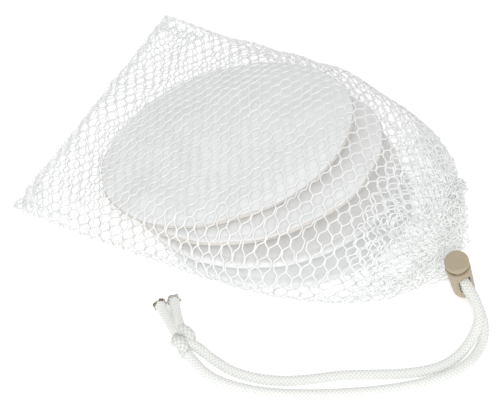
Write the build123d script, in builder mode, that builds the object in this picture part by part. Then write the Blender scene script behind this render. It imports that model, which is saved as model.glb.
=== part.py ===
"""Drawstring mesh bag, lying on its side panel and drawn shut round a fanned stack of round pads.

Frame: +X runs from the sewn bottom of the bag to its gathered mouth, +Y from the front edge to the
back edge, +Z up. The bag rests on z = 0. Everything is in millimetres.
"""
import os
from math import cos, pi, radians, sin, tan

from build123d import *

# Net and seams
net = 1.0                      # thickness of a net panel, knots included
seam_width = 6.0               # seam allowance, turned to the inside
seam_thickness = 1.0
seam_gap = 1.2                 # between a seam allowance and the net that rises beside it
corner_share = 0.42            # of an edge's first run, taken up by the bottom seam
seam_ends = 0.02               # of its length, left free at each corner of the bottom seam

# Edges of the bag on the floor, from the sewn bottom to the mouth
front_edge = [(-93, -81), (-74, -81.2), (-52, -81), (-24, -79.5), (6, -78), (36, -74), (62, -65), (82, -51),
              (92.4, -33)]
back_edge = [(-111.4, 82.4), (-86, 80.5), (-58, 78), (-26, 73), (8, 64), (38, 54), (62, 44), (76, 31),
             (81, 17)]

# Ribs of the top panel, one over each pair of edge points: how far the front wall stands out over the
# edge, then heights at that wall and at five fractions of the way to the back edge
front_bulge = [0, 0.3, 1.0, 3.0, 4.4, 5.2, 3.0, 1.5, 0.5]
rib_fractions = [0.012, 0.2, 0.45, 0.75, 0.985]
rib_heights = [(2.8, 3.9, 4.1, 4.2, 4.1, 3.9), (3.2, 5.0, 8.6, 11.8, 10.6, 4.0),
               (4.6, 9.0, 16.0, 20.4, 19.2, 5.5), (8.0, 20.0, 25.8, 30.2, 31.6, 8.0),
               (9.0, 26.5, 33.8, 38.4, 40.4, 11.0), (9.0, 25.0, 38.4, 43.8, 40.4, 13.0),
               (8.0, 18.0, 30.0, 34.5, 33.0, 13.0), (7.0, 14.0, 23.0, 26.0, 26.0, 12.0),
               (7.0, 13.0, 19.5, 20.5, 20.0, 11.0)]

# Round pads, from the top of the fan down: centre of the rim's top edge, fall to -X and to -Y in degrees
pad_radius = 60.0
pad_rim = 2.5
pad_crown = 3.0                # how far the middle of a pad stands above its rim
pad_places = [((-18.5, -16.5, 24.4), 15.7, 4.5), ((-3.0, -19.5, 21.0), 13.2, 2.0),
              ((5.5, -20.5, 13.6), 7.1, 1.0), ((11.7, -20.5, 6.7), 2.5, 0.0)]

# Cord lock: a barrel with a sprung plunger, leaning towards the front
lock_base = Vector(106.2, -32.4, 2.2)
lock_axis = Vector(-0.07, -0.325, 0.943).normalized()
lock_heading = -38.0           # heading of the cord hole, in degrees from +X
barrel_radius = 5.3
barrel_length = 20.5
barrel_floor = 1.5
bore_radius = 4.3
plunger_radius = 4.2
plunger_web = 2.0              # plunger below its cord hole
button_radius = 5.6
button_thickness = 2.3
button_travel = 1.8
button_gap = 2.0               # between the barrel and the released button
hole_width = 5.4
hole_height = 11.6
hole_centre = 12.0             # above the barrel's foot
spring_wire = 0.5
spring_radius = 3.0
spring_turns = 3

# Drawcord
cord = 4.4
cord_spacing = 4.5             # between the two strands in the lock
cord_clear = 0.15              # plunger's edge to the strand that it grips
straight_cord = 9.0            # first run of each strand outside the lock, along its hole
channel_radius = 4.5
channel_bore = 2.4
channel_top = 15.6             # height of the upper leg of the channel
channel_legs = 10.2            # from the upper leg down to the lower leg
channel_end_radius = 4.9       # where the two legs join at the far end of the mouth
mouth_line = [(96.3, -20.0), (94.8, -8.0), (91.6, 3.5), (85.0, 16.0)]
ruffle_depth = 6.0             # how far the frill stands out of the channel
ruffle_scallop = 1.6           # depth of its scallops
ruffle_folds = 7

# Strands from the lock to the knot, limp on the floor
on_floor = cord / 2
inner_strand = [(121.6, -52.6, 9.8), (121.4, -61.0, 5.2), (119.2, -70.0, on_floor + 0.3),
                (114.2, -78.6, on_floor), (105.2, -86.6, on_floor), (94.0, -93.4, on_floor),
                (82.5, -100.0, on_floor), (73.0, -108.0, on_floor), (62.4, -115.0, on_floor),
                (50.7, -119.0, on_floor), (38.7, -119.6, on_floor), (27.6, -116.9, 3.6)]
outer_strand = [(123.4, -50.4, 5.6), (126.0, -59.2, on_floor + 0.1), (124.2, -72.0, on_floor),
                (116.0, -85.0, on_floor), (102.8, -97.4, on_floor), (88.6, -107.6, on_floor),
                (75.4, -115.6, on_floor), (65.2, -120.8, on_floor), (54.6, -124.8, on_floor),
                (43.0, -126.8, on_floor), (32.4, -125.6, on_floor), (23.6, -121.6, 4.2)]
knot_lobe_radius = 5.0
knot_lobes = [(20.0, -118.0, 5.2), (16.4, -114.0, 5.2)]
inner_tail = [(13.2, -110.4, 4.4), (9.0, -105.0, 2.8), (3.0, -97.2, on_floor)]
outer_tail = [(11.8, -114.8, 3.4), (5.0, -109.4, 2.3), (-1.8, -103.2, on_floor)]


def plan_point(point, height=0.0):
    """A point of the plan at a height."""
    return Vector(point[0], point[1], height)


def rib_points(front, back, bulge, heights, inset, foot):
    """Points of one rib of the top panel, moved inwards by inset, starting at the height foot."""
    front, back = plan_point(front), plan_point(back)
    across = (back - front).normalized()
    distances = [-bulge] + [f * (back - front).length for f in rib_fractions]
    middle = [front + across * d + Vector(0, 0, h) for d, h in zip(distances, heights)]
    points = [front + Vector(0, 0, foot)] + middle + [back + Vector(0, 0, foot)]
    if inset == 0:
        return points
    moved = [points[0] + across * inset]
    for before, here, after in zip(points, points[1:], points[2:]):
        inward = (after - before).cross(across.cross(Vector(0, 0, 1))).normalized()
        moved.append(here + inward * inset)
    return moved + [points[-1] - across * inset]


def net_body(inset, foot, end_shift):
    """The space under the top panel, as one lofted solid; end_shift moves its first and last rib along X."""
    shifts = [end_shift] + [0] * (len(front_edge) - 2) + [end_shift]
    with BuildPart() as body:
        ribs = zip(front_edge, back_edge, front_bulge, rib_heights, shifts)
        for front, back, bulge, heights, shift in ribs:
            front, back = (front[0] + shift, front[1]), (back[0] + shift, back[1])
            across = plan_point(back) - plan_point(front)
            rib_plane = Plane(origin=plan_point(front), x_dir=across, z_dir=across.cross(Vector(0, 0, 1)))
            points = rib_points(front, back, bulge, heights, inset, foot)
            points = [rib_plane.to_local_coords(p) for p in points]
            with BuildSketch(rib_plane):
                with BuildLine():
                    arch = Spline(*[(p.X, p.Y) for p in points])
                    Line(arch @ 1, arch @ 0)
                make_face()
        loft()
    return body.part


def fillet_radii(points):
    """The tangent arc that each corner of a cord's route gets: 0.45 of its shorter run."""
    radii = []
    for before, here, after in zip(points, points[1:], points[2:]):
        run_in, run_out = here - before, after - here
        turn = radians(run_in.get_angle(run_out))
        radii.append(0.45 * min(run_in.length, run_out.length) / tan(turn / 2))
    return radii


def tube(name, points, radius, end_corners=()):
    """A round tube along straight runs joined by tangent arcs; prints its arcs and its volume check."""
    points = [Vector(*p) if isinstance(p, tuple) else p for p in points]
    radii = fillet_radii(points)
    for corner in end_corners:
        radii[corner - 1] = channel_end_radius
    with BuildPart() as piece:
        with BuildLine() as route:
            FilletPolyline(*points, radius=radii)
        path = route.wires()[0]
        with BuildSketch(Plane(origin=path @ 0, z_dir=path % 0)):
            Circle(radius)
        sweep(path=path)
    share = piece.part.volume / (pi * radius**2 * path.length)
    print(f"{name}: length {path.length:.1f}, volume share {share:.3f}, arc radii",
          [round(r, 1) for r in radii])
    return piece.part


def save(piece, name):
    """Label a finished piece and write it."""
    piece.label = name
    export_step(piece, f"parts/{name}.step")


def inset_edge(points, distance):
    """An edge of the bag moved to the left of its own direction, as plan points."""
    points = [plan_point(p) for p in points]
    runs = [(b - a).normalized() for a, b in zip(points, points[1:])]
    runs = [runs[0]] + runs + [runs[-1]]
    moved = []
    for point, run_in, run_out in zip(points, runs, runs[1:]):
        side = Vector(0, 0, 1).cross(run_in + run_out).normalized()
        moved.append(point + side * (distance / side.dot(Vector(0, 0, 1).cross(run_in))))
    return moved


def seam_strip(name, edge):
    """A seam allowance lying on the bottom panel, just inside an edge of the bag."""
    outer = inset_edge(edge, net + seam_gap)
    inner = inset_edge(edge, net + seam_gap + seam_width)
    with BuildPart() as strip:
        with BuildSketch(Plane.XY.offset(net)):
            with BuildLine():
                Polyline(*[(p.X, p.Y) for p in outer + inner[::-1]], close=True)
            make_face()
        extrude(amount=seam_thickness)
    save(strip.part, name)


def between(start, end, share):
    """The plan point at a share of the way from one point to another."""
    return tuple(a + (b - a) * share for a, b in zip(start, end))


os.makedirs("parts", exist_ok=True)

# Net panels: the bottom one lies flat, the top one rises over the pads
footprint = front_edge + back_edge[::-1]
with BuildPart() as mesh_bottom_panel:
    with BuildSketch():
        with BuildLine():
            Polyline(*footprint, close=True)
        make_face()
    extrude(amount=net)
save(mesh_bottom_panel.part, "mesh_bottom_panel")

# The inner body starts inside the sewn end, which closes the shell there, and runs out of the open mouth
top_shell = net_body(0, net, 0) - net_body(net, -net, 1.2)
with BuildPart() as mesh_top_panel:
    add(top_shell)
    split(bisect_by=Plane.XY.offset(net), keep=Keep.TOP)
save(mesh_top_panel.part, "mesh_top_panel")


# Seam allowances, turned to the inside along the sewn bottom and both sides
seam_strip("bottom_seam", [between(back_edge[0], front_edge[0], seam_ends),
                           between(front_edge[0], back_edge[0], seam_ends)])
seam_strip("side_seam_front", [between(*front_edge[:2], corner_share)] + front_edge[1:-1])
seam_strip("side_seam_back", back_edge[-2:0:-1] + [between(*back_edge[:2], corner_share)])

# Round pads
for number, (centre, fall_x, fall_y) in enumerate(pad_places, start=1):
    up = Vector(-tan(radians(fall_x)), -tan(radians(fall_y)), 1).normalized()
    side = Vector(0, 1, 0).cross(up).normalized()
    rim_bend = pad_radius - pad_rim / 2
    pad_plane = Plane(origin=centre, x_dir=side, z_dir=side.cross(up))
    with BuildPart() as pad:
        with BuildSketch(pad_plane):
            with BuildLine():
                Polyline((0, pad_crown), (0, -pad_rim), (rim_bend, -pad_rim))
                ThreePointArc((rim_bend, -pad_rim), (pad_radius, -pad_rim / 2), (rim_bend, 0))
                TangentArc((0, pad_crown), (rim_bend, 0), tangent=(1, 0))
            make_face()
        revolve(axis=Axis(pad_plane.origin, pad_plane.y_dir))
    save(pad.part, f"round_pad_{number}")

# Cord lock: frame of the barrel, and the way that the cord hole runs
hole_plan = Vector(cos(radians(lock_heading)), sin(radians(lock_heading)), 0)
hole_way = (hole_plan - lock_axis * hole_plan.dot(lock_axis)).normalized()
lock_plane = Plane(origin=lock_base, x_dir=hole_way, z_dir=lock_axis)
hole_middle = lock_base + lock_axis * hole_centre
hole_plane = Plane(origin=hole_middle, x_dir=lock_axis, z_dir=hole_way)

with BuildPart() as lock_barrel:
    with BuildSketch(lock_plane):
        Circle(barrel_radius)
    extrude(amount=barrel_length)
    barrel_ends = lock_barrel.edges().filter_by(GeomType.CIRCLE).sort_by(Axis(lock_base, lock_axis))
    fillet(barrel_ends[0], radius=2.4)
    fillet(barrel_ends[-1], radius=0.4)
    with BuildSketch(lock_plane.offset(barrel_floor)):
        Circle(bore_radius)
    extrude(amount=barrel_length, mode=Mode.SUBTRACT)
    with BuildSketch(hole_plane):
        SlotOverall(hole_height, hole_width)
    extrude(amount=barrel_radius * 2, both=True, mode=Mode.SUBTRACT)
save(lock_barrel.part, "lock_barrel")

strand_low = hole_centre - cord_spacing / 2 - cord / 2
strand_high = hole_centre + cord_spacing / 2 + cord / 2
slot_low = strand_low - cord_clear
slot_high = strand_high + button_travel + cord_clear
button_foot = barrel_length + button_gap
with BuildPart() as lock_plunger:
    with BuildSketch(lock_plane.offset(slot_low - plunger_web)):
        Circle(plunger_radius)
    extrude(amount=button_foot - slot_low + plunger_web)
    with BuildSketch(lock_plane.offset(button_foot)):
        Circle(button_radius)
    extrude(amount=button_thickness)
    button_rims = lock_plunger.edges().filter_by(GeomType.CIRCLE).sort_by(Axis(lock_base, lock_axis))
    fillet(button_rims[-1], radius=0.7)
    slot_middle = lock_base + lock_axis * ((slot_low + slot_high) / 2)
    with BuildSketch(Plane(origin=slot_middle, x_dir=lock_axis, z_dir=hole_way)):
        SlotOverall(slot_high - slot_low, hole_width)
    extrude(amount=barrel_radius * 2, both=True, mode=Mode.SUBTRACT)
save(lock_plunger.part, "lock_plunger")

spring_room = slot_low - plunger_web - barrel_floor
spring_pitch = (spring_room - spring_wire - 0.1) / spring_turns
spring_foot = lock_base + lock_axis * (barrel_floor + spring_wire / 2 + 0.05)
with BuildPart() as lock_spring:
    with BuildLine() as coil:
        Helix(pitch=spring_pitch, height=spring_pitch * spring_turns, radius=spring_radius,
              center=spring_foot, direction=lock_axis)
    coil_path = coil.wires()[0]
    with BuildSketch(Plane(origin=coil_path @ 0, z_dir=coil_path % 0)):
        Circle(spring_wire / 2)
    sweep(path=coil_path, is_frenet=True)
save(lock_spring.part, "lock_spring")

# Drawcord: the loop in the channel runs out through the lock, one strand above the other
strand_offset = lock_axis * (cord_spacing / 2)
lock_exit = hole_way * (barrel_radius + 0.4)
lock_entry = hole_way * -(barrel_radius + 3.2)
upper_leg = [plan_point(p, channel_top) for p in mouth_line]
lower_leg = [plan_point(p, channel_top - channel_legs) for p in mouth_line[::-1]]
ring = upper_leg + lower_leg
loop_route = [hole_middle + strand_offset + lock_exit, hole_middle + strand_offset + lock_entry] + ring
loop_route += [hole_middle - strand_offset + lock_entry, hole_middle - strand_offset + lock_exit]
far_corners = (len(mouth_line) - 1, len(mouth_line))
save(tube("drawcord_loop", loop_route, cord / 2, [c + 2 for c in far_corners]), "drawcord_loop")

channel_route = [(ring[0] + ring[1]) / 2] + ring[1:-1] + [(ring[-2] + ring[-1]) / 2]
channel_skin = tube("drawstring_channel", channel_route, channel_radius, far_corners)
channel_core = tube("drawstring_channel bore", channel_route, channel_bore, far_corners)
save(channel_skin - channel_core, "drawstring_channel")

# Ruffle: the gathered frill of the net outside the channel, a scalloped band between its two legs
scallops = []
for fold in range(2 * ruffle_folds + 1):
    along = fold / (2 * ruffle_folds) * (len(mouth_line) - 1)
    run = min(int(along), len(mouth_line) - 2)
    start, end = plan_point(mouth_line[run]), plan_point(mouth_line[run + 1])
    outward = (end - start).normalized().cross(Vector(0, 0, 1))
    depth = channel_radius + ruffle_depth - (ruffle_scallop if fold % 2 else 0)
    scallops.append(start + (end - start) * (along - run) + outward * depth)
with BuildPart() as mouth_ruffle:
    with BuildSketch(Plane.XY.offset(channel_top - channel_legs / 2 - net / 2)):
        with BuildLine():
            Polyline(*mouth_line, *[(p.X, p.Y) for p in scallops[::-1]], close=True)
        make_face()
    extrude(amount=net)
save(mouth_ruffle.part - channel_skin, "mouth_ruffle")

# Strands, knot and tails
inner_start, outer_start = loop_route[0], loop_route[-1]
inner_route = [inner_start, inner_start + hole_way * straight_cord] + inner_strand
outer_route = [outer_start, outer_start + hole_way * straight_cord] + outer_strand
save(tube("drawcord_strand_inner", inner_route, cord / 2), "drawcord_strand_inner")
save(tube("drawcord_strand_outer", outer_route, cord / 2), "drawcord_strand_outer")
knot_start, knot_end = Vector(*knot_lobes[0]), Vector(*knot_lobes[1])
knot_way = (knot_end - knot_start).normalized()
knot_plane = Plane(origin=knot_start, x_dir=knot_way, z_dir=Vector(0, 0, 1).cross(knot_way))
lobe_distance = (knot_end - knot_start).length
with BuildPart() as drawcord_knot:
    with BuildSketch(knot_plane):
        Circle(knot_lobe_radius)
        with Locations((lobe_distance, 0)):
            Circle(knot_lobe_radius)
        with Locations((lobe_distance / 2, -2 * knot_lobe_radius)):
            Rectangle(6 * knot_lobe_radius, 4 * knot_lobe_radius, mode=Mode.SUBTRACT)
    revolve(axis=Axis(knot_start, knot_way))
save(drawcord_knot.part, "drawcord_knot")
save(tube("drawcord_tail_inner", inner_tail, cord / 2), "drawcord_tail_inner")
save(tube("drawcord_tail_outer", outer_tail, cord / 2), "drawcord_tail_outer")
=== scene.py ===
"""Looks of the drawstring mesh bag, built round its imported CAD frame. Lengths are in metres, except in the
lists that say otherwise.

The bag is a white hexagonal net, drawn shut round a fan of round fabric pads. Its yarns are real tubes,
laid on the surfaces of the CAD panels.
"""

from math import cos, pi, radians, sin

import bpy
import numpy as np
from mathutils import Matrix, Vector
from mathutils.bvhtree import BVHTree


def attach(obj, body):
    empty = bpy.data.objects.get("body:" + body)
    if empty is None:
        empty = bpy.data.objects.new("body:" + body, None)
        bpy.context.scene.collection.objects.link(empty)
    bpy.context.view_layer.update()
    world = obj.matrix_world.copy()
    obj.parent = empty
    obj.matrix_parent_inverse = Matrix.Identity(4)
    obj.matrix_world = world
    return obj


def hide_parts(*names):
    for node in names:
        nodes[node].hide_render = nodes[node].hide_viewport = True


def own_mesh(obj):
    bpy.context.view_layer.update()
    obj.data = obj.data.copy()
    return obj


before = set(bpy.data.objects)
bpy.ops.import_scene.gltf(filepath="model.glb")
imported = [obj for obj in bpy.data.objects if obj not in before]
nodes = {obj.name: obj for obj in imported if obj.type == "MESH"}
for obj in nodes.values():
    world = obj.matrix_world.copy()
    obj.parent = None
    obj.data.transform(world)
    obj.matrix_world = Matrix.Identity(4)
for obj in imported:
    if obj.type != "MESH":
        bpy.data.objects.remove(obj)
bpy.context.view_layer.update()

MM = 0.001
FLOOR_GAP = 0.03 * MM           # nothing reaches lower

# Net: hexagonal cells whose yarns run along the sewn bottom, from the front edge to the back edge
YARN_RADIUS = 0.31 * MM
CELL_SIDE = 3.3 * MM
WALE_STEP = CELL_SIDE * 3**0.5 / 2
NET_ROWS = 33                   # rows of cells across the bag, each 1.5 sides from the next
NET_WIDTH = NET_ROWS * 1.5 * CELL_SIDE
NET_SINK = 0.35 * MM            # middle of the yarn below the CAD panel's outer face
NET_LEAST_HEIGHT = 1.2 * YARN_RADIUS
SEAM_ALLOWANCE = 7 * MM

# Drawcord
CORD = 4.4 * MM
BRAID_CARRIERS = 6              # in each direction
BRAID_PITCH = 9.6 * MM
BRAID_BULGE = 0.42 * MM         # how far a carrier stands up from the grooves beside it
BRAID_LIFT = 0.22 * MM          # how far it rises over the one that it crosses
BRAID_RING_STEP = 0.22 * MM
BRAID_SIDES = 48

# Channel and cord lock, as in the part's source
CHANNEL_TOP = 15.6 * MM         # height of the channel's upper leg
CHANNEL_LEGS = 10.2 * MM        # from the upper leg down to the lower leg
LOCK_AXIS = (-0.07, -0.325, 0.943)

# Lines and routes are in millimetres. This one is the drawn mouth, seen from above, along the channel. The
# gathered net starts at the lock, and the cord's loop lies inside the line
DRAWN_START = (98.0, -31.0)
DRAWN_LINE = [(96.1, -20.1), (93.9, -8.4), (89.9, 2.7), (82.4, 14.8)]
LOOP_INSIDE = (2.4, 0.4)        # how far inside, along X and Y
LOOP_UNDER = 0.8                # how far below the channel's upper leg

# Middles of the cord at the lock, on the side of the strands and on the side of the bag
LOCK_EXIT_HIGH = (109.80, -40.31, 14.85)
LOCK_EXIT_LOW = (110.12, -38.84, 10.61)
LOCK_ENTRY_HIGH = (98.3, -32.1, 16.8)
LOCK_ENTRY_LOW = (98.7, -30.7, 12.6)

# Routes of the two strands, as in the part's source
INNER_STRAND = [LOCK_EXIT_HIGH, (117.06, -45.48, 13.61), (121.6, -52.6, 9.8), (121.4, -61.0, 5.2),
                (119.2, -70.0, 2.5), (114.2, -78.6, 2.2), (105.2, -86.6, 2.2), (94.0, -93.4, 2.2),
                (82.5, -100.0, 2.2), (73.0, -108.0, 2.2), (62.4, -115.0, 2.2), (50.7, -119.0, 2.2),
                (38.7, -119.6, 2.2), (27.6, -116.9, 3.6)]
OUTER_STRAND = [LOCK_EXIT_LOW, (117.38, -44.01, 9.36), (123.4, -50.4, 5.6), (126.0, -59.2, 2.3),
                (124.2, -72.0, 2.2), (116.0, -85.0, 2.2), (102.8, -97.4, 2.2), (88.6, -107.6, 2.2),
                (75.4, -115.6, 2.2), (65.2, -120.8, 2.2), (54.6, -124.8, 2.2), (43.0, -126.8, 2.2),
                (32.4, -125.6, 2.2), (23.6, -121.6, 4.2)]

# The knot: the end of the inner strand that goes into it, its two turns, and the tails, which start inside it
KNOT_LEAD = [(29.6, -117.4, 3.35), (26.6, -116.6, 3.8), (23.0, -116.4, 4.5), (19.0, -117.5, 4.7)]
KNOT_START, KNOT_END = (19.4, -121.9, 4.5), (17.4, -110.8, 4.6)
KNOT_EXIT = (10.8, -108.8, 3.4)
KNOT_HALF_WIDTH, KNOT_HALF_HEIGHT = 2.5, 1.9
KNOT_FIRST_ANGLE, KNOT_TURN = -30, 600          # degrees
KNOT_POINTS = 21
INNER_TAIL = [(15.4, -112.6, 5.0), (8.6, -105.4, 3.5), (2.0, -96.9, 2.4)]
OUTER_TAIL = [(14.2, -114.2, 3.4), (5.6, -107.6, 2.3), (-1.8, -101.8, 2.2)]

# Camera
CAMERA_AZIMUTH = radians(29)
CAMERA_ELEVATION = radians(42)
CAMERA_DISTANCE = 0.650
CAMERA_TARGET = Vector((0.005, -0.036, 0.010))
CAMERA_LENS = 105.3
CAMERA_SENSOR = 36


def add_camera():
    """The camera, looking down at the bag from the front right."""
    flat = cos(CAMERA_ELEVATION)
    back = Vector((sin(CAMERA_AZIMUTH) * flat, -cos(CAMERA_AZIMUTH) * flat, sin(CAMERA_ELEVATION)))
    camera = bpy.data.objects.new("camera", bpy.data.cameras.new("camera"))
    camera.data.lens = CAMERA_LENS
    camera.data.sensor_width = CAMERA_SENSOR
    camera.location = CAMERA_TARGET + back * CAMERA_DISTANCE
    camera.rotation_euler = back.to_track_quat("Z", "Y").to_euler()
    bpy.context.scene.collection.objects.link(camera)
    bpy.context.scene.camera = camera


# Mesh helpers

def mesh_object(name, points, faces, material, smooth=True):
    """A new mesh object from arrays of points and faces."""
    mesh = bpy.data.meshes.new(name)
    mesh.from_pydata(np.asarray(points).reshape(-1, 3).tolist(), [], faces)
    mesh.polygons.foreach_set("use_smooth", [smooth] * len(mesh.polygons))
    mesh.materials.append(material)
    made = bpy.data.objects.new(name, mesh)
    bpy.context.scene.collection.objects.link(made)
    return made


def unit(vectors):
    """The vectors at unit length."""
    return vectors / np.maximum(np.linalg.norm(vectors, axis=-1, keepdims=True), 1e-12)


def tube_faces(tubes, rings, sides):
    """Faces of closed tubes, each of so many rings and sides."""
    first = np.arange(tubes)[:, None, None] * rings * sides
    ring = np.arange(rings - 1)[None, :, None] * sides
    side = np.arange(sides)[None, None, :]
    after = (side + 1) % sides
    quads = np.stack([first + ring + side, first + ring + after, first + ring + sides + after,
                      first + ring + sides + side], axis=-1).reshape(-1, 4).tolist()
    for tube in range(tubes):
        start = tube * rings * sides
        quads.append(list(range(start + sides - 1, start - 1, -1)))
        end = start + (rings - 1) * sides
        quads.append(list(range(end, end + sides)))
    return quads


def yarn_points(centres, normals, radius, sides, flat=1.0):
    """Points of yarn tubes round centre lines of shape (tubes, points, 3); flat squeezes them."""
    ways = unit(np.gradient(centres, axis=1))
    across = unit(np.cross(normals, ways))
    up = np.cross(ways, across)
    turns = 2 * pi * np.arange(sides) / sides
    radius = np.broadcast_to(np.asarray(radius), centres.shape[:2])[..., None, None]
    return (centres[:, :, None] + radius * (np.cos(turns)[:, None] * across[:, :, None]
                                            + flat * np.sin(turns)[:, None] * up[:, :, None]))


def yarns(name, centres, normals, radius, material, sides=6, flat=1.0):
    """One object of many yarns that all have as many points."""
    points = yarn_points(centres, normals, radius, sides, flat)
    return mesh_object(name, points, tube_faces(len(centres), centres.shape[1], sides), material)


def ripples(seed, size, waves=7):
    """A smooth random function of a point, about -1 to 1, with bumps of that size."""
    draw = np.random.RandomState(seed)
    ways = unit(draw.normal(size=(waves, 3))) * 2 * pi / size * draw.uniform(0.6, 1.5, (waves, 1))
    starts = draw.uniform(0, 2 * pi, waves)
    return lambda points: np.sin(points @ ways.T + starts).sum(axis=-1) / (waves / 2) ** 0.5


def along_line(points, share):
    """Points at shares, 0 to 1, of the way along a line."""
    points = np.asarray(points, float)
    reached = np.concatenate([[0], np.cumsum(np.linalg.norm(np.diff(points, axis=0), axis=1))])
    wanted = np.asarray(share) * reached[-1]
    return np.stack([np.interp(wanted, reached, points[:, i]) for i in range(3)], axis=-1)


def route_points(route):
    """Points along the NURBS spline that has a route, in millimetres, as its control points."""
    curve = bpy.data.curves.new("route", "CURVE")
    curve.dimensions = "3D"
    spline = curve.splines.new("NURBS")
    spline.points.add(len(route) - 1)
    for point, place in zip(spline.points, route):
        point.co = (*[c * MM for c in place], 1)
    spline.order_u = 3
    spline.use_endpoint_u = True
    spline.resolution_u = 24
    holder = bpy.data.objects.new("route", curve)
    mesh = bpy.data.meshes.new_from_object(holder)
    points = np.array([v.co for v in mesh.vertices])
    bpy.data.objects.remove(holder)
    bpy.data.meshes.remove(mesh)
    bpy.data.curves.remove(curve)
    return points


# Materials

def new_material(name):
    """A node material with its shader, and the functions that add and join nodes."""
    material = bpy.data.materials.new(name)
    material.use_nodes = True
    tree = material.node_tree
    shader = tree.nodes["Principled BSDF"]

    def add(kind, **values):
        node = tree.nodes.new(kind)
        for key, value in values.items():
            if key in node.inputs:
                node.inputs[key].default_value = value
            else:
                setattr(node, key, value)
        return node

    return material, shader, add, tree.links.new


def mottled(name, colours, size, roughness, grain, grain_height, **shader_values):
    """A material of two colours that drift into each other, with a fine grain."""
    material, shader, add, join = new_material(name)
    place = add("ShaderNodeTexCoord")
    drift = add("ShaderNodeTexNoise", Scale=1 / size, Detail=4.0)
    join(place.outputs["Object"], drift.inputs["Vector"])
    ramp = add("ShaderNodeValToRGB")
    ramp.color_ramp.elements[0].position = 0.35
    ramp.color_ramp.elements[1].position = 0.65
    for element, colour in zip(ramp.color_ramp.elements, colours):
        element.color = (*colour, 1)
    join(drift.outputs["Fac"], ramp.inputs["Fac"])
    join(ramp.outputs["Color"], shader.inputs["Base Color"])
    spread = add("ShaderNodeMapRange", **{"To Min": roughness - 0.06, "To Max": roughness + 0.06})
    join(drift.outputs["Fac"], spread.inputs["Value"])
    join(spread.outputs["Result"], shader.inputs["Roughness"])
    fine = add("ShaderNodeTexNoise", Scale=1 / grain, Detail=3.0)
    join(place.outputs["Object"], fine.inputs["Vector"])
    bump = add("ShaderNodeBump", Strength=0.5, Distance=grain_height)
    join(fine.outputs["Fac"], bump.inputs["Height"])
    join(bump.outputs["Normal"], shader.inputs["Normal"])
    for key, value in shader_values.items():
        shader.inputs[key.replace("_", " ")].default_value = value
    return material


def shaded_braid(name, light, shade_colour):
    """Braided cord: fibres in relief, with painted shade in its grooves, as strong as the attribute made by
    braid says.
    """
    material = mottled(name, (light, light), 3 * MM, 0.62, 0.25 * MM, 0.12 * MM, Sheen_Weight=0.3)
    tree = material.node_tree
    shader = tree.nodes["Principled BSDF"]
    painted_shade_amount = tree.nodes.new("ShaderNodeAttribute")
    painted_shade_amount.attribute_name = "groove_shade"
    mix = tree.nodes.new("ShaderNodeMix")
    mix.data_type = "RGBA"
    mix.inputs["B"].default_value = (*shade_colour, 1)
    tree.links.new(painted_shade_amount.outputs["Fac"], mix.inputs["Factor"])
    tree.links.new(tree.nodes["Color Ramp"].outputs["Color"], mix.inputs["A"])
    tree.links.new(mix.outputs["Result"], shader.inputs["Base Color"])
    return material


# The thin white net and pads give off a little light: a painted glow that lifts their shaded parts and stands
# for the light that passes through them.
COOL_GLOW, CLOTH_GLOW, WARM_GLOW = (0.93, 0.96, 1.0, 1), (0.98, 0.95, 0.92, 1), (1.0, 0.94, 0.87, 1)

yarn_material = mottled(
    "net_yarn", ((0.79, 0.80, 0.785), (0.85, 0.86, 0.845)), 9 * MM, 0.45, 0.3 * MM, 0.1 * MM,
    Sheen_Weight=0.25, Emission_Color=COOL_GLOW, Emission_Strength=0.09)
# Painted light: a lighter copy of the net yarn, which glows a little more, for the folds gathered inside the
# mouth, to lift the shade among them
fold_brightened_material = mottled(
    "net_yarn_folds_painted_light", ((0.82, 0.83, 0.83), (0.88, 0.885, 0.88)), 9 * MM, 0.45, 0.3 * MM, 0.1 * MM,
    Sheen_Weight=0.25, Emission_Color=COOL_GLOW, Emission_Strength=0.10)
# The cord's own colour, and the darker colour of the painted shade in its grooves
cord_material = shaded_braid("cord_braid_groove_shade", (0.885, 0.895, 0.87), (0.60, 0.62, 0.58))
pad_material = mottled(
    "pad_cloth", ((0.755, 0.765, 0.77), (0.795, 0.805, 0.81)), 14 * MM, 0.9, 0.7 * MM, 0.25 * MM,
    Sheen_Weight=0.4, Emission_Color=CLOTH_GLOW, Emission_Strength=0.105)
# Painted shade: a darker, warmer copy of the pad cloth for the rims and undersides of the uppermost pads,
# where shade lies in the gaps between the pads
pad_side_shade_material = mottled(
    "pad_side_painted_shade", ((0.62, 0.59, 0.55), (0.68, 0.65, 0.61)), 14 * MM, 0.9, 0.7 * MM, 0.25 * MM,
    Sheen_Weight=0.4, Emission_Color=WARM_GLOW, Emission_Strength=0.05)
plastic_material = mottled(
    "lock_plastic", ((0.41, 0.345, 0.235), (0.44, 0.37, 0.255)), 6 * MM, 0.48, 0.35 * MM, 0.03 * MM)
steel_material = mottled(
    "spring_steel", ((0.55, 0.55, 0.56), (0.65, 0.65, 0.66)), 2 * MM, 0.3, 0.2 * MM, 0.01 * MM, Metallic=1.0)
burnt_material = mottled(
    "melted_end_brown", ((0.10, 0.06, 0.03), (0.42, 0.34, 0.26)), 0.9 * MM, 0.4, 0.4 * MM, 0.1 * MM)
grey_material = mottled(
    "melted_end_grey", ((0.30, 0.28, 0.26), (0.62, 0.60, 0.57)), 0.9 * MM, 0.4, 0.4 * MM, 0.1 * MM)


# Drawcord

GROOVE_SHADE_EDGE = 0.12 * MM         # how far below the braid's highest places the painted shade in its grooves starts
GROOVE_SHADE_DEPTH = 0.40 * MM        # and over how much more depth that painted shade gets full
ACROSS_CORD = (0.1, 0.2, 1.0)   # a direction that no cord starts in


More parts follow.
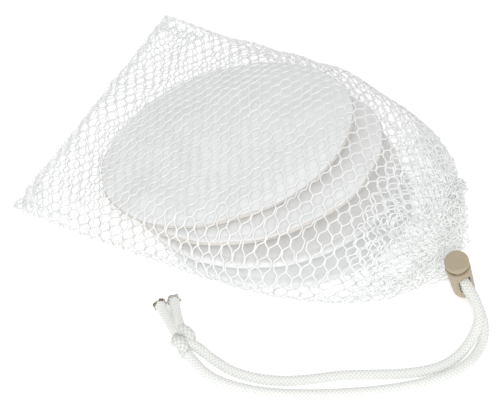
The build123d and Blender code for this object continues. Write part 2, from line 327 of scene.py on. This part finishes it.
def braid(name, route, diameter=CORD, turns_start=0.0, flare=0.0, shade=0.0):
    """A braided cord along points: carriers wound both ways, each over one and under the next. flare widens
    its last half, as where it frays, and shade adds painted shade all over it, for the shade inside a tight
    knot."""
    length = np.linalg.norm(np.diff(route, axis=0), axis=1).sum()
    rings = int(length / BRAID_RING_STEP)
    share = np.linspace(0, 1, rings)
    centres = along_line(route, share)
    ways = unit(np.gradient(centres, axis=0))
    side = np.zeros_like(ways)
    side[0] = unit(np.cross(ways[0], ACROSS_CORD))
    for i in range(1, rings):
        side[i] = unit(side[i - 1] - ways[i] * (side[i - 1] @ ways[i]))
    up = np.cross(ways, side)
    turn = 2 * pi * np.arange(BRAID_SIDES) / BRAID_SIDES
    wound = 2 * pi * share[:, None] * length / BRAID_PITCH + turns_start
    right = BRAID_CARRIERS * (turn - wound) / (2 * pi)
    left = BRAID_CARRIERS * (turn + wound) / (2 * pi)

    def carrier(own, other, sign):
        number = np.round(own)
        round_top = np.sqrt(np.maximum(0, 1 - (2 * (own - number)) ** 2))
        return round_top * BRAID_BULGE + sign * BRAID_LIFT * np.cos(pi * (other - number))

    height = np.maximum(carrier(right, left, 1), carrier(left, right, -1))
    top = BRAID_BULGE + BRAID_LIFT
    radius = diameter / 2 - top + height
    radius = radius * (1 + flare * np.clip((share[:, None] - 0.5) * 2, 0, 1) ** 2)
    points = (centres[:, None] + radius[..., None] * (np.cos(turn)[:, None] * side[:, None]
                                                      + np.sin(turn)[:, None] * up[:, None]))
    points[..., 2] = np.maximum(points[..., 2], FLOOR_GAP)
    made = mesh_object(name, points, tube_faces(1, rings, BRAID_SIDES), cord_material)
    groove_shade = made.data.attributes.new("groove_shade", "FLOAT", "POINT")
    # Painted shade: darker deeper in the grooves between the carriers, and darker all over by shade
    painted_shade_amount = np.clip(shade + (top - GROOVE_SHADE_EDGE - height) / GROOVE_SHADE_DEPTH, 0, 1)
    groove_shade.data.foreach_set("value", painted_shade_amount.astype(np.float32).ravel())
    return made


MELTED_RADIUS = 2.55 * MM
MELTED_HALF_THICKNESS = 1.3 * MM
MELTED_LUMPS = 1.6 * MM         # apart
MELTED_LUMP_HEIGHT = 0.45 * MM


def melted_end(name, centre, way, material, seed):
    """The melted crust at the cut end of the cord, square to its way: a lumpy cap."""
    way = unit(np.asarray(way))
    side = unit(np.cross(way, ACROSS_CORD))
    up = np.cross(way, side)
    rings, sides = 9, 40
    lumps = ripples(seed, MELTED_LUMPS)
    turn = 2 * pi * np.arange(sides) / sides
    points = []
    for ring in range(rings):
        angle = pi * (ring + 0.5) / rings
        out = MELTED_RADIUS * sin(angle) ** 0.7
        lift = MELTED_HALF_THICKNESS * cos(angle)
        circle = out * (np.cos(turn)[:, None] * side + np.sin(turn)[:, None] * up)
        points.append(centre + circle - way * lift)
    points = np.array(points)
    points = points + unit(points - centre) * (MELTED_LUMP_HEIGHT * lumps(points))[..., None]
    points[..., 2] = np.maximum(points[..., 2], FLOOR_GAP)
    return mesh_object(name, points, tube_faces(1, rings, sides), material)


def knot_route():
    """The tight knot's cord: two turns side by side, which rise between the strands and the tails."""
    start, end = np.array(KNOT_START), np.array(KNOT_END)
    axis = unit(end - start)
    across = unit(np.cross(axis, (0, 0, 1)))
    route = []
    for share in np.linspace(0, 1, KNOT_POINTS):
        angle = radians(KNOT_FIRST_ANGLE + KNOT_TURN * share)
        sideways = across * KNOT_HALF_WIDTH * cos(angle)
        upwards = np.array((0, 0, KNOT_HALF_HEIGHT * sin(angle)))
        route.append(tuple(start + (end - start) * share + sideways + upwards))
    return [OUTER_STRAND[-1]] + route + [KNOT_EXIT]


def loop_route():
    """The cord inside the hem: in at the lock, along the upper leg and back along the lower one."""
    inside = [(x - LOOP_INSIDE[0], y - LOOP_INSIDE[1]) for x, y in DRAWN_LINE]
    upper = [(x, y, CHANNEL_TOP / MM - LOOP_UNDER) for x, y in inside]
    lower = [(x, y, (CHANNEL_TOP - CHANNEL_LEGS) / MM) for x, y in inside[::-1]]
    return [LOCK_EXIT_HIGH, LOCK_ENTRY_HIGH] + upper + lower + [LOCK_ENTRY_LOW, LOCK_EXIT_LOW]


def make_cords():
    """Both strands, with the loop, the knot and the tails."""
    inner_path, outer_path = route_points(INNER_STRAND), route_points(OUTER_STRAND)
    made = {
        "strand_inner": braid("cord_strand_inner", inner_path),
        "strand_outer": braid("cord_strand_outer", outer_path, turns_start=0.8),
        "loop": braid("cord_loop", route_points(loop_route())),
        # The knot and the cord leading into it take painted shade all over, for the shade inside the tight
        # knot
        "knot": braid("cord_knot", route_points(knot_route()), diameter=1.14 * CORD, shade=0.4),
        "lead": braid("cord_knot_lead", route_points(KNOT_LEAD), diameter=1.03 * CORD, shade=0.1),
        "tail_inner": braid("cord_tail_inner", route_points(INNER_TAIL), flare=0.12),
        "tail_outer": braid("cord_tail_outer", route_points(OUTER_TAIL), turns_start=0.5, flare=0.16),
    }
    ends = []
    for name, tail, material, seed in (("melted_end_grey", INNER_TAIL, grey_material, 5),
                                       ("melted_end_brown", OUTER_TAIL, burnt_material, 8)):
        tip, before = np.array(tail[-1]) * MM, np.array(tail[-2]) * MM
        ends.append(melted_end(name, tip, tip - before, material, seed))
    for key, piece in made.items():
        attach(piece, "bag")
        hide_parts("drawcord_" + key.replace("lead", "knot"))
    for piece in ends:
        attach(piece, "bag")


# Surfaces of the net

class Surface:
    """A cloth surface: sections from the sewn bottom to the mouth, each from the front to the back edge."""

    def __init__(self, sections):
        self.points = np.asarray(sections, float)
        steps = np.linalg.norm(np.diff(self.points, axis=0), axis=2).mean(axis=1)
        self.reach = np.concatenate([[0], np.cumsum(steps)])
        self.set_normals()

    def set_normals(self):
        """Work out the outward normals from the points."""
        along = np.gradient(self.points, axis=0)
        across = np.gradient(self.points, axis=1)
        self.normals = unit(np.cross(along, across))

    def lift(self, height):
        """Move every point along its normal by an array of heights."""
        self.points = self.points + self.normals * height[..., None]
        self.set_normals()

    def sample(self, grid, along, across):
        """Values of a grid at distances along from the sewn bottom and shares across from the front."""
        rows, columns = grid.shape[:2]
        i = np.clip(np.interp(along, self.reach, np.arange(rows)), 0, rows - 1.001)
        j = np.clip(across * (columns - 1), 0, columns - 1.001)
        row, column = i.astype(int), j.astype(int)
        i, j = (i - row)[..., None], (j - column)[..., None]
        return ((1 - i) * ((1 - j) * grid[row, column] + j * grid[row, column + 1])
                + i * ((1 - j) * grid[row + 1, column] + j * grid[row + 1, column + 1]))

    def at(self, along, across):
        """Points on the surface."""
        return self.sample(self.points, along, across)

    def normal_at(self, along, across):
        """Normals of the surface."""
        return unit(self.sample(self.normals, along, across))


def node_points(name):
    """Points of a CAD node's mesh at rest."""
    return np.array([v.co for v in nodes[name].data.vertices])


def panel_tree(*names):
    """A ray-casting tree of CAD nodes at rest."""
    points, faces = [], []
    for name in names:
        mesh = nodes[name].data
        faces += [tuple(v + len(points) for v in p.vertices) for p in mesh.polygons]
        points += [v.co.copy() for v in mesh.vertices]
    return BVHTree.FromPolygons(points, faces)


envelope = panel_tree("mesh_top_panel", "mesh_bottom_panel")
floor_panel = panel_tree("mesh_bottom_panel")
bottom_points = node_points("mesh_bottom_panel")

# How the CAD panels are read
ABOVE = 0.2                     # a height well over the bag
ASIDE = 0.3                     # a distance well beside it
FLAT_SECTION = 0.016            # a section no higher than this is read from above, a higher one from around
NET_MIDDLE = 0.5 * MM           # of the bottom panel's thickness
SECTIONS = 129
SECTION_RAYS = 73
SECTION_POINTS = 281
SECTION_SMOOTHING = 14          # times
SECTION_INSET = 0.013           # of the bag's length, between its ends and the first and last section

# How the net lies
SEAM_CLOSING = 5                # sections over which the top layer comes down to the sewn bottom
SEAM_HEIGHT = 0.9 * MM
MOUTH_LEAD = 6                  # sections before the mouth from which it bends over the channel
RUFFLE_STEPS = 6                # between two control sections past the mouth
GATHER = 50 * MM                # over which the folds grow, up to the mouth
FOLD_WAVER, FOLD_WAVER_SIZE = 1.9, 24 * MM      # how much the folds bend, in radians of their wave
FOLD_SWELL, FOLD_SWELL_SIZE = 0.45, 15 * MM     # how uneven their heights are
FOLD_DRIFT = 2.2                # how far they move across, up to the mouth, in radians
FOLDS_INWARD = 0.6              # of their height, so that the upper net stays under the CAD panel's face
FOLD_EDGE = 14                  # the folds fade out within this part, one in so many, of the width
FOLD_FLIP = 6 * MM              # past the mouth, over which the lower net's folds may go up as well as down
WRINKLE, WRINKLE_SIZE = 0.4 * MM, 28 * MM
SURFACE_LEAST_HEIGHT = 1.4 * YARN_RADIUS


def corner(x_share, y_share):
    """The bag's corner furthest that way on the floor."""
    return bottom_points[np.argmax(bottom_points[:, 0] * x_share + bottom_points[:, 1] * y_share)][:2]


front_sewn, back_sewn = corner(-1, -1), corner(-0.3, 1)
front_mouth, back_mouth = corner(1, -0.4), corner(1, 0.29)


def floor_edge(x, side):
    """Where the bottom panel's edge is at x, on the front (-1) or the back (1) side."""
    hit = floor_panel.ray_cast(Vector((x, side * ASIDE, NET_MIDDLE)), Vector((0, -side, 0)))[0]
    return np.array((x, hit.y, NET_MIDDLE))


def section_ends(share):
    """Ends on the floor of the section at a share of the way from the sewn bottom to the mouth."""
    inside = SECTION_INSET + (1 - 2 * SECTION_INSET) * share
    front = floor_edge(front_sewn[0] + (front_mouth[0] - front_sewn[0]) * inside, -1)
    back = floor_edge(back_sewn[0] + (back_mouth[0] - back_sewn[0]) * inside, 1)
    return front, back


def top_section(share):
    """Points over the top panel from the front edge to the back edge, evenly spaced."""
    front, back = section_ends(share)
    middle, half = (front + back) / 2, (back - front) / 2
    down = Vector((0, 0, -1))
    rise = np.array((0, 0, envelope.ray_cast(Vector((middle[0], middle[1], ABOVE)), down)[0].z))
    found = []
    if rise[2] < FLAT_SECTION:
        for across in np.linspace(-0.995, 0.995, SECTION_RAYS):
            place = middle + half * across
            found.append(envelope.ray_cast(Vector((place[0], place[1], ABOVE)), down)[0])
        return along_line([front, *found, back], np.linspace(0, 1, SECTION_POINTS))
    for angle in np.linspace(0, pi, SECTION_RAYS):
        way = -half * cos(angle) + rise * sin(angle)
        hit = envelope.ray_cast(Vector(middle + way * 2.5), Vector(-way))[0]
        if hit is not None and 0.6 < (hit - Vector(middle)).length / np.linalg.norm(way) < 1.7:
            found.append(hit)
    return along_line(found, np.linspace(0, 1, SECTION_POINTS))


def bottom_section(share):
    """Points along the bottom panel from the front edge to the back edge."""
    front, back = section_ends(share)
    return front + (back - front) * np.linspace(0, 1, SECTION_POINTS)[:, None]


def smooth_join(rows, steps):
    """Sections on smooth curves through control sections, from the second to the last but one."""
    made = []
    for a, b, c, d in zip(rows, rows[1:], rows[2:], rows[3:]):
        for t in np.arange(steps) / steps:
            made.append(0.5 * (2 * b + (c - a) * t + (2 * a - 5 * b + 4 * c - d) * t**2
                               + (3 * b - a - 3 * c + d) * t**3))
    return made


# Control sections past the mouth: over the channel, beside it, in the ruffle and at its edge. For each, in
# millimetres: how far it is from the channel's leg, to its own side and outward, and how much further out its
# middle is
MOUTH_ROWS = [(2.4, -0.6, 0), (-0.6, 1.3, 0), (-2.8, 1.9, 1.2), (-4.6, 2.2, 2.6)]
FULL_MIDDLE = 0.28              # of the mouth's length


def mouth_rows(upper):
    """Control sections of the upper or the lower net past the mouth."""
    share = np.linspace(0, 1, SECTION_POINTS)
    line = np.array([(x, y, 0) for x, y in [DRAWN_START] + DRAWN_LINE]) * MM
    along = along_line(line, share)
    outward = unit(np.cross(np.gradient(along, axis=0), (0, 0, 1)))
    up = np.array((0, 0, 1.0))
    leg = CHANNEL_TOP if upper else CHANNEL_TOP - CHANNEL_LEGS
    sign = 1 if upper else -1
    middle = (np.exp(-(((share - 0.5) / FULL_MIDDLE) ** 2)))[:, None]
    return [along + up * (leg + sign * rise * MM) + outward * (out + fuller * middle) * MM
            for rise, out, fuller in MOUTH_ROWS]


def closed_sections(section):
    """Smoothed sections from the sewn bottom to the mouth, which start down on the floor."""
    sections = [section(share) for share in np.linspace(0, 1, SECTIONS)]
    lead = sections[0] - sections[1]
    sections = np.array([sections[0] + lead * 2, sections[0] + lead] + sections)
    for _ in range(SECTION_SMOOTHING):
        sections[1:-1] = (sections[:-2] + 2 * sections[1:-1] + sections[2:]) / 4
    sections = list(sections)
    for number in range(SEAM_CLOSING):
        share = (number + 1) / (SEAM_CLOSING + 1)
        sections[number] = sections[number] * (1, 1, share) + np.array((0, 0, SEAM_HEIGHT)) * (1 - share)
    return sections


def net_surface(section, upper, seed, sink=NET_SINK, folds=10, fold_height=1.9 * MM):
    """The surface of one side of the bag, from the sewn bottom to the edge of the ruffle, and how far along
    it the mouth is. It lies sink below the CAD panel's face, and its folds grow towards the mouth."""
    sections = closed_sections(section)
    tail = smooth_join([sections[-MOUTH_LEAD], sections[-1]] + mouth_rows(upper), RUFFLE_STEPS)
    made = Surface(sections[:-1] + tail)
    mouth = made.reach[len(sections) - 1]
    share = np.linspace(0, 1, SECTION_POINTS)
    places = made.points
    made.lift(np.full(places.shape[:2], -sink))
    gather = np.clip((made.reach - (mouth - GATHER)) / GATHER, 0, 1)[:, None]
    waver = ripples(seed, FOLD_WAVER_SIZE)(places)
    swell = ripples(seed + 1, FOLD_SWELL_SIZE)(places)
    pleats = np.sin(2 * pi * folds * share[None, :] + FOLD_WAVER * waver + FOLD_DRIFT * gather)
    edges = np.clip(np.minimum(share, 1 - share) * FOLD_EDGE, 0, 1)[None, :]
    inward = FOLDS_INWARD if upper else 0
    height = gather**1.5 * (1 + FOLD_SWELL * swell) * fold_height * (pleats - inward)
    wrinkle = WRINKLE * ripples(seed + 2, WRINKLE_SIZE)(places)
    if upper:
        height = height + wrinkle * (1 - gather)
    else:
        rise = np.clip((made.reach - mouth) / FOLD_FLIP, 0, 1)[:, None]
        height = -np.abs(height) * (1 - rise) + height * rise - np.abs(wrinkle) * (1 - rise)
    made.lift(height * edges)
    made.points[..., 2] = np.maximum(made.points[..., 2], SURFACE_LEAST_HEIGHT)
    made.set_normals()
    return made, mouth


# How uneven the net's yarns are: a slow drift and a quick jitter across them, and a slide along them
DRIFT, DRIFT_SIZE = 0.35 * MM, 21 * MM
JITTER, JITTER_SIZE = 0.22 * MM, 6 * MM
SLIDE, SLIDE_SIZE = 0.3 * MM, 17 * MM
POINTS_PER_CELL = 7
YARN_SQUARENESS = 2.1           # how straight the sides that two yarns share are
LINK_GAP = 0.75 * YARN_RADIUS   # half the distance between the two, where they are linked
LINK_HEIGHT = 0.3 * YARN_RADIUS  # how far one goes over the other there
LINK_THICKER = 0.12             # how much thicker they are there


def net(name, surface, first, last, low, high, offset=0, shift=0.0, material=yarn_material, rows=NET_ROWS,
        seed=1):
    """Yarns of a hexagonal net on a surface. Each runs from the front to the back and joins its two
    neighbours in turn. first and last are distances along the surface, low and high shares across it, offset
    the net's height over it, and shift how far the cells are moved along the yarns, in rows."""
    number = np.arange(int(round((last - first) / WALE_STEP)))[:, None]
    start = first + (number + 0.5) * WALE_STEP
    count = max(int(rows * (high - low) * POINTS_PER_CELL), 8)
    across = low + (high - low) * np.linspace(0, 1, count)[None, :]
    beat = np.cos(pi * (across * rows + shift))
    flat_top = np.tanh(YARN_SQUARENESS * beat) / np.tanh(YARN_SQUARENESS)
    sign = np.where(number % 2 == 0, 1.0, -1.0)
    sway = sign * flat_top
    drift = ripples(seed, DRIFT_SIZE)
    jitter = ripples(seed + 40, JITTER_SIZE)
    centre = surface.at(start + 0 * across, across)
    push = DRIFT * drift(centre) + JITTER * jitter(centre)
    along = start + sway * (WALE_STEP / 2 - LINK_GAP) + push
    slide = (SLIDE * ripples(seed + 80, SLIDE_SIZE)(centre)) / (rows * 1.5 * CELL_SIDE)
    centre = surface.at(along, np.clip(across + slide, 0, 1))
    normal = surface.normal_at(along, across)
    link = LINK_HEIGHT * sign * np.sin(2 * pi * (across * rows + shift))
    centre = centre + normal * (offset + link)[..., None]
    centre[..., 2] = np.maximum(centre[..., 2], NET_LEAST_HEIGHT)
    thickness = YARN_RADIUS * (1 + LINK_THICKER * np.abs(beat) ** 4)
    return yarns(name, centre, normal, thickness, material)


def dress(piece, *replaced, slot="net"):
    """A piece of the bag rides on it and stands for CAD nodes; slot is not used."""
    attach(piece, "bag")
    if replaced:
        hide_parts(*replaced)
    return piece


STITCH_PITCH = 2.85 * MM
STITCH_REACH = 0.75 * MM        # how far the thread goes round the edge
THREAD_RADIUS = 0.16 * MM


def stitches(name, line):
    """An overlock thread that winds round an edge, along a line of points."""
    length = np.linalg.norm(np.diff(line, axis=0), axis=1).sum()
    turns = length / STITCH_PITCH
    share = np.linspace(0, 1, int(turns * 12))
    centre = along_line(line, share)
    way = unit(np.gradient(centre, axis=0))
    side = unit(np.cross(way, (0, 0, 1)))
    up = np.cross(side, way)
    angle = (2 * pi * turns * share)[:, None]
    path = centre + STITCH_REACH * (np.cos(angle) * side + 0.6 * np.sin(angle) * up)
    path[:, 2] = np.maximum(path[:, 2], THREAD_RADIUS * 1.2)
    return yarns(name, path[None], up[None], THREAD_RADIUS, yarn_material)


SEAM_START, EDGE_START = 0.5 * MM, 1 * MM       # from the sewn bottom
SEAM_UNDER = -0.5 * MM          # the doubled net, from the net over it
CORNER_UNDER = -0.9 * MM        # and the net folded into a corner
SEAM_SHIFT, CORNER_SHIFT = 0.5, 0.3
SIDE_SEAM_STOP = 45 * MM        # before the ruffle's edge
THREAD_PLACE = 0.9 * MM         # of the bottom's thread, and the shares of the width where the sides' run
FRONT_THREAD, BACK_THREAD = 0.004, 0.996
# For each corner: the shares of the width between which it is folded, and how far it reaches from the bottom
CORNERS = {"front": (0.002, 0.11, 15 * MM), "back": (0.94, 0.998, 8 * MM)}


def make_seams(top):
    """The doubled net inside the sewn bottom, the front side and the corners, and the overlock threads of all
    three edges."""
    seam_end = SEAM_ALLOWANCE + SEAM_START
    side_end = top.reach[-1] - SIDE_SEAM_STOP
    made = {"bottom_seam": [], "side_seam_front": [], "side_seam_back": []}
    made["bottom_seam"].append(
        net("net_seam_bottom", top, SEAM_START, seam_end, 0.01, 0.99, SEAM_UNDER, SEAM_SHIFT, seed=31))
    made["side_seam_front"].append(
        net("net_seam_front", top, SEAM_START, side_end, 0.003, SEAM_ALLOWANCE / NET_WIDTH, SEAM_UNDER,
            SEAM_SHIFT, seed=33))
    for name, (low, high, reach) in CORNERS.items():
        made["bottom_seam"].append(
            net(f"net_corner_{name}", top, SEAM_START, reach, low, high, CORNER_UNDER, CORNER_SHIFT, seed=38))
    across = np.linspace(0, 1, 60)
    along = np.linspace(EDGE_START, side_end, 90)
    edges = {"bottom_seam": top.at(0 * across + THREAD_PLACE, across),
             "side_seam_front": top.at(along, 0 * along + FRONT_THREAD),
             "side_seam_back": top.at(along, 0 * along + BACK_THREAD)}
    for node, line in edges.items():
        made[node].append(stitches(f"overlock_{node}", line))
    for node, parts in made.items():
        for part in parts:
            dress(part, node)


NET_START = 0.6 * MM            # from the sewn bottom
FULL_WIDTH = (0.001, 0.999)     # shares of the width, almost from edge to edge
CASING, LOW_CASING = 5 * MM, 2 * MM             # length of the casing before the mouth, above and below
LINING_SINK, LINING_OVER, LINING_SHIFT = 2.4 * MM, 1.4 * MM, 0.5
LOW_SHIFT = 0.45                # of the lower net's cells at the mouth
GATHERED_WIDTH = (0.02, 0.98)
GATHERED_SHIFT = 0.5
GATHERED_FOLD_HEIGHT = 2.4 * MM
# For each layer of folds inside the gathered net: how far it lies below the top panel's face, how many folds
# it has, how far before the mouth it starts, and how many rows of cells it has more than the net
GATHERED_LAYERS = [(1.3 * MM, 12, 32 * MM, 6), (2.4 * MM, 8, 24 * MM, 12)]


def make_net():
    """Both sides of the bag, with the seam allowances, the casing, the gathered folds and the ruffle."""
    top, top_mouth = net_surface(top_section, True, 11)
    lining, _ = net_surface(top_section, True, 51, sink=LINING_SINK, folds=9)
    bottom, bottom_mouth = net_surface(bottom_section, False, 61, sink=0)
    casing_start, casing_end = top_mouth - CASING, top.reach[-RUFFLE_STEPS]
    low_start, low_end = bottom_mouth - LOW_CASING, bottom.reach[-RUFFLE_STEPS]
    net_top = dress(net("net_top", top, NET_START, casing_start, *FULL_WIDTH), "mesh_top_panel")
    net_bottom = dress(net("net_bottom", bottom, NET_START, low_start, *FULL_WIDTH), "mesh_bottom_panel")
    dress(net("net_casing_top", top, casing_start, casing_end, *FULL_WIDTH, seed=3), "drawstring_channel")
    dress(net("net_casing_lining", lining, casing_start, casing_end, *FULL_WIDTH, LINING_OVER, LINING_SHIFT,
              seed=6))
    dress(net("net_casing_bottom", bottom, low_start, low_end, *FULL_WIDTH, shift=LOW_SHIFT, seed=4))
    for number, (sink, folds, length, more_rows) in enumerate(GATHERED_LAYERS, start=1):
        layer, _ = net_surface(top_section, True, 70 + number, sink, folds, GATHERED_FOLD_HEIGHT)
        dress(net(f"net_gather_{number}", layer, top_mouth - length, casing_start, *GATHERED_WIDTH,
                  shift=GATHERED_SHIFT, material=fold_brightened_material, rows=NET_ROWS + more_rows, seed=9 + number))
    dress(net("net_ruffle", top, casing_end, top.reach[-1], *FULL_WIDTH, seed=7), "mouth_ruffle")
    dress(net("net_ruffle_lower", bottom, low_end, bottom.reach[-1], *FULL_WIDTH, shift=LOW_SHIFT, seed=8))
    make_seams(top)


# Pads

def pad_frame(node):
    """Centre of a pad's underside, two directions across it and its axis, upwards, from its CAD node."""
    points = node_points(node)
    axis = np.linalg.eigh(np.cov((points - points.mean(axis=0)).T))[1][:, 0]
    axis = axis if axis[2] > 0 else -axis
    side = unit(np.cross((0, 1, 0), axis))
    up = np.cross(axis, side)
    centre = sum(way * ((points @ way).min() + (points @ way).max()) / 2 for way in (side, up))
    return centre + axis * (points @ axis).min(), side, up, axis


PAD_RADIUS = 59.6 * MM
CAD_RIM = 2.5 * MM
PAD_RINGS, PAD_SPOKES = 44, 180
PAD_FOOT = 0.15 * MM            # height of its underside
PAD_SEAM_DEPTH, PAD_SEAM_INWARD, PAD_SEAM_SPREAD = 0.3 * MM, 4.2 * MM, 0.7 * MM
PAD_WAVE, PAD_WAVE_SIZE = 0.35 * MM, 34 * MM
PAD_PUCKER, PAD_PUCKER_SIZE = 0.06 * MM, 9 * MM
SHADED_PADS = 2                 # the uppermost ones, whose rims and undersides are painted with the shade that lies under their edges
# From the top of the fan down, in millimetres: thickness of the pad's rim, how far its top edge is above the
# CAD pad's, and how far the middle stands up
PAD_SHAPES = [(1.5, 0.0, 2.7), (2.4, 1.4, 1.3), (2.6, 1.6, 1.1), (2.5, 0.5, 2.0)]


def pad_profile(rim, crown_height):
    """Radii and heights of a pad's rings, from the middle of its top, round the rim, to under the middle."""
    profile = []
    for share in np.linspace(0.02, 1, PAD_RINGS):
        r = PAD_RADIUS * (1 - (1 - share) ** 1.5)
        inward = PAD_RADIUS - r
        crown = crown_height * (1 - (r / PAD_RADIUS) ** 2)
        round_off = rim / 2 * np.sqrt(max(0.0, 1 - (1 - min(inward / (rim / 2), 1)) ** 2))
        seam = PAD_SEAM_DEPTH * np.exp(-((inward - PAD_SEAM_INWARD) / PAD_SEAM_SPREAD) ** 2)
        profile.append((r, rim / 2 + round_off + crown - seam))
    for r, z in profile[-2::-1]:
        profile.append((r, max(rim - z, PAD_FOOT) if r > PAD_RADIUS - rim / 2 else PAD_FOOT))
    return profile


def make_pad(number):
    """A round washable pad: two layers of soft cloth, sewn together inside a rolled rim."""
    name = f"round_pad_{number}"
    rim, rise, crown_height = [v * MM for v in PAD_SHAPES[number - 1]]
    foot, side, up, axis = pad_frame(name)
    foot = foot + axis * (CAD_RIM + rise - rim)
    profile = pad_profile(rim, crown_height)
    turn = 2 * pi * np.arange(PAD_SPOKES) / PAD_SPOKES
    wave = ripples(20 + number, PAD_WAVE_SIZE)
    pucker = ripples(30 + number, PAD_PUCKER_SIZE)
    points = []
    for r, z in profile:
        flat = r * (np.cos(turn)[:, None] * side + np.sin(turn)[:, None] * up)
        place = foot + flat
        bend = PAD_WAVE * wave(place) + PAD_PUCKER * pucker(place)
        out = 1 + 0.004 * wave(place * 1.3)
        points.append(foot + flat * out[:, None] + axis * (z + np.where(z > rim / 2, bend, 0))[:, None])
    faces = tube_faces(1, len(profile), PAD_SPOKES)
    pad = mesh_object(f"pad_{number}", np.array(points), faces, pad_material)
    # The uppermost pads' rims and undersides take the painted shade
    pad.data.materials.append(pad_side_shade_material if number <= SHADED_PADS else pad_material)
    side_shade_faces = (np.arange(len(faces)) >= (PAD_RINGS - 3) * PAD_SPOKES).astype(int)
    side_shade_faces[-2:] = 0, 1         # the two caps, in the middle of the top and of the underside
    pad.data.polygons.foreach_set("material_index", side_shade_faces)
    dress(pad, name, slot="pad_fabric")


# Lock

LEAN_AZIMUTH = radians(29)      # from +X towards +Y, of the way in which the barrel's foot leans
LEAN = 1.4 * MM
FOOT_START = 0.68               # share of the way down the barrel where it starts to narrow
FOOT_NARROWING = 0.22
BUTTON_NARROWING = 0.09
BUTTON_NECK = 1.5 * MM          # height over the barrel's rim where the button has its full change
BUTTON_RISE = 0.5 * MM


def reshaped(name, cad_node, reshape, material):
    """A copy of a CAD node's mesh with its points moved, which stands for that node."""
    mesh = nodes[cad_node].data.copy()
    points = np.array([v.co for v in mesh.vertices])
    mesh.vertices.foreach_set("co", reshape(points).astype(np.float32).ravel())
    mesh.materials.clear()
    mesh.materials.append(material)
    made = bpy.data.objects.new(name, mesh)
    bpy.context.scene.collection.objects.link(made)
    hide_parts(cad_node)
    return made


def make_lock():
    """The cord lock: the barrel narrows and leans towards its foot, and the button is a little narrower than
    in CAD and stands a little higher."""
    barrel_points = node_points("lock_barrel")
    axis = unit(np.array(LOCK_AXIS))
    low, high = (barrel_points @ axis).min(), (barrel_points @ axis).max()
    middle = barrel_points.mean(axis=0)
    lean_way = np.array((cos(LEAN_AZIMUTH), sin(LEAN_AZIMUTH), 0))

    def narrow(points, by):
        along = (points - middle) @ axis
        centre = middle + along[:, None] * axis
        return centre + (points - centre) * np.asarray(by)[:, None]

    def taper(points):
        down = np.clip((high - points @ axis) / (high - low), 0, 1)
        at_foot = np.clip((down - FOOT_START) / (1 - FOOT_START), 0, 1)
        made = narrow(points, 1 - FOOT_NARROWING * at_foot**1.3)
        return made + lean_way * (LEAN * down**4)[:, None]

    def smaller(points):
        above = np.clip((points @ axis - high) / BUTTON_NECK, 0, 1)
        return narrow(points, 1 - BUTTON_NARROWING * above) + axis * (BUTTON_RISE * above)[:, None]

    coil = reshaped("lock_coil", "lock_spring", lambda points: points, steel_material)
    turns = node_points("lock_spring")
    reach = turns @ axis
    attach(coil, "lock")
    turns[reach.argmin()].tolist()
    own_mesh(coil)
    pieces = ((reshaped("lock_body", "lock_barrel", taper, plastic_material), "lock"),
              (reshaped("lock_button", "lock_plunger", smaller, plastic_material), "button"))
    for piece, body in pieces:
        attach(piece, body)


FLOOR_HALF = 4.0
WORLD_LIGHT = 0.52
# Name, place, side and power of each square lamp, which points at the origin
LAMPS = [("key", (-0.35, 0.15, 1.1), 0.8, 1.0), ("fill", (0.40, -0.76, 0.78), 0.5, 6.4)]


def make_stage():
    """A plain white floor, even light all round, a weak lamp overhead and a stronger one in front."""
    material, shader, _, _ = new_material("floor")
    shader.inputs["Base Color"].default_value = (0.97, 0.97, 0.97, 1)
    shader.inputs["Roughness"].default_value = 0.9
    shader.inputs["Specular IOR Level"].default_value = 0.0
    shader.inputs["Emission Color"].default_value = (1.0, 1.0, 1.0, 1)
    shader.inputs["Emission Strength"].default_value = 0.3
    corners = [(x * FLOOR_HALF, y * FLOOR_HALF, 0) for x, y in ((-1, -1), (1, -1), (1, 1), (-1, 1))]
    floor = mesh_object("floor", corners, [(0, 1, 2, 3)], material, smooth=False)
    world = bpy.data.worlds.new("world")
    bpy.context.scene.world = world
    world.use_nodes = True
    background = world.node_tree.nodes["Background"]
    background.inputs["Color"].default_value = (1.0, 1.0, 1.0, 1)
    background.inputs["Strength"].default_value = WORLD_LIGHT
    for name, place, side, power in LAMPS:
        lamp = bpy.data.lights.new(name, "AREA")
        lamp.shape = "SQUARE"
        lamp.size = side
        lamp.energy = power
        holder = bpy.data.objects.new(name, lamp)
        holder.location = place
        holder.rotation_euler = Vector(place).to_track_quat("Z", "Y").to_euler()
        bpy.context.scene.collection.objects.link(holder)
    bpy.context.scene.view_settings.view_transform = "Standard"


add_camera()
make_cords()
make_net()
for pad_number in range(1, len(PAD_SHAPES) + 1):
    make_pad(pad_number)
make_lock()
make_stage()
